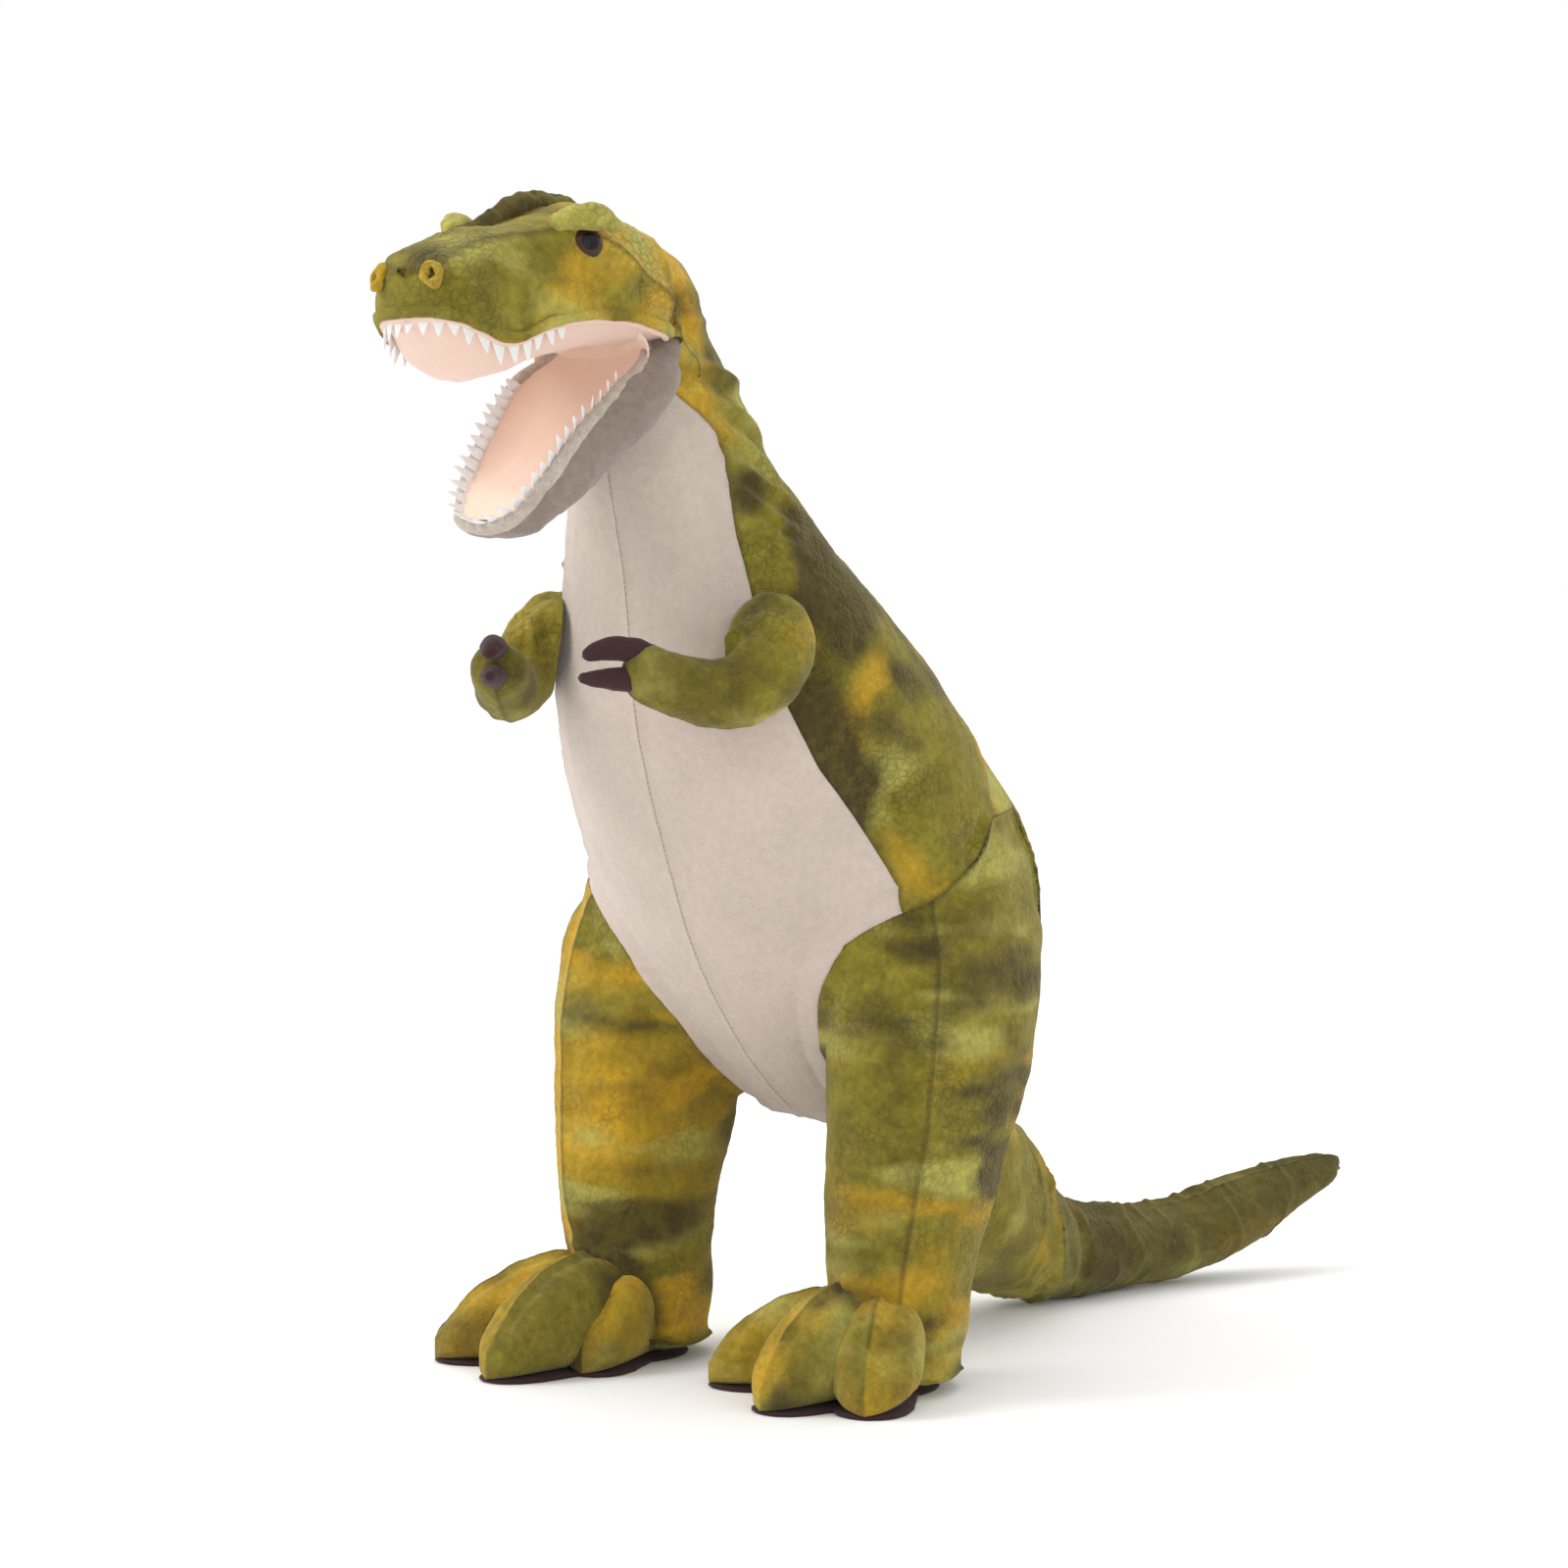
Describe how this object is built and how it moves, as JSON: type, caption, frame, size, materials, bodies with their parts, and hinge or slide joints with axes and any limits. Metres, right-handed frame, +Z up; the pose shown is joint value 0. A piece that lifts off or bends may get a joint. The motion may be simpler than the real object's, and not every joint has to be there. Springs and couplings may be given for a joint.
{
  "type": "stuffed dinosaur",
  "caption": "Stuffed standing dinosaur with plush cover, padded belly, open toothed mouth, small clawed arms, thick legs and a tail that rests on the floor",
  "frame": {"origin": "Bottom centre of the bounding box: middle of its width and depth, on the floor.", "axes": "+Z up, the nose points along -Y, the animal's own left is +X, the tail runs back along +Y."},
  "size_m": [0.2249, 0.5669, 0.4655],
  "materials": {
    "green_plush": "short pile plush, mottled olive and gold",
    "toe_plush": "short pile plush, darker olive",
    "tail_plush": "short pile plush, dark olive brown",
    "cream_plush": "short pile plush, cream",
    "jaw_plush": "short pile plush, grey beige",
    "mouth_plush": "smooth knitted lining, pale pink",
    "tooth_felt": "white felt",
    "claw_felt": "dark brown suede cloth",
    "sole_felt": "dark brown suede cloth",
    "eye_plastic": "glossy, dark brown with a black pupil",
    "washer_plastic": "plain moulded",
    "filling_fibre": "loose polyester fibre",
    "pellets": "bagged plastic pellets"
  },
  "bodies": {
    "torso": {"belly_panel_left": "cream_plush", "flank_panel_left": "green_plush", "leg_outer_panel_left": "green_plush", "leg_inner_panel_left": "green_plush", "leg_filling_left": "filling_fibre", "foot_pellets_left": "pellets", "foot_sole_left": "sole_felt", "toe_inner_left": "toe_plush", "toe_middle_left": "toe_plush", "toe_outer_left": "toe_plush", "belly_panel_right": "cream_plush", "flank_panel_right": "green_plush", "leg_outer_panel_right": "green_plush", "leg_inner_panel_right": "green_plush", "leg_filling_right": "filling_fibre", "foot_pellets_right": "pellets", "foot_sole_right": "sole_felt", "toe_inner_right": "toe_plush", "toe_middle_right": "toe_plush", "toe_outer_right": "toe_plush", "torso_filling": "filling_fibre", "tail_base_cover": "green_plush", "tail_base_filling": "filling_fibre"},
    "tail": {"tail_filling": "filling_fibre", "tail_side_left": "tail_plush", "tail_side_right": "tail_plush"},
    "head": {"snout_panel": "green_plush", "crown_panel_left": "green_plush", "crown_panel_right": "green_plush", "cheek_panel_left": "green_plush", "cheek_panel_right": "green_plush", "upper_lip_band": "green_plush", "crest_ridge": "tail_plush", "brow_left": "green_plush", "nostril_left": "green_plush", "eye_left": "eye_plastic", "eye_washer_left": "washer_plastic", "brow_right": "green_plush", "nostril_right": "green_plush", "eye_right": "eye_plastic", "eye_washer_right": "washer_plastic", "palate_panel": "mouth_plush", "head_filling": "filling_fibre", "upper_teeth_strip": "tooth_felt"},
    "jaw": {"jaw_cover": "jaw_plush", "jaw_rim": "cream_plush", "jaw_lining": "mouth_plush", "jaw_filling": "filling_fibre", "lower_teeth_strip": "tooth_felt"},
    "arm_left": {"arm_cover_left": "green_plush", "arm_filling_left": "filling_fibre", "claw_upper_left": "claw_felt", "claw_lower_left": "claw_felt"},
    "arm_right": {"arm_cover_right": "green_plush", "arm_filling_right": "filling_fibre", "claw_upper_right": "claw_felt", "claw_lower_right": "claw_felt"}
  },
  "joints": [
    {"name": "head_turn", "type": "hinge", "parent": "torso", "child": "head", "pos_m": [0.008, -0.1365, 0.378], "axis": [0, 0, 1], "range_deg": [-20, 20], "stiffness_Nm_per_rad": 1.2},
    {"name": "jaw_close", "type": "hinge", "parent": "head", "child": "jaw", "pos_m": [0.008, -0.1685, 0.407], "axis": [-1, 0, 0], "range_deg": [-3, 9], "stiffness_Nm_per_rad": 0.5},
    {"name": "arm_left_swing", "type": "hinge", "parent": "torso", "child": "arm_left", "pos_m": [0.0605, -0.137, 0.2975], "axis": [0.6816, -0.7217, 0.1203], "range_deg": [-25, 25], "stiffness_Nm_per_rad": 0.2},
    {"name": "arm_right_swing", "type": "hinge", "parent": "torso", "child": "arm_right", "pos_m": [-0.0445, -0.137, 0.2975], "axis": [-0.6816, -0.7217, 0.1203], "range_deg": [-25, 25], "stiffness_Nm_per_rad": 0.2},
    {"name": "tail_swing", "type": "hinge", "parent": "torso", "child": "tail", "pos_m": [0.013, 0.1235, 0.023], "axis": [0, 0, 1], "range_deg": [-15, 15], "stiffness_Nm_per_rad": 1}
  ]
}
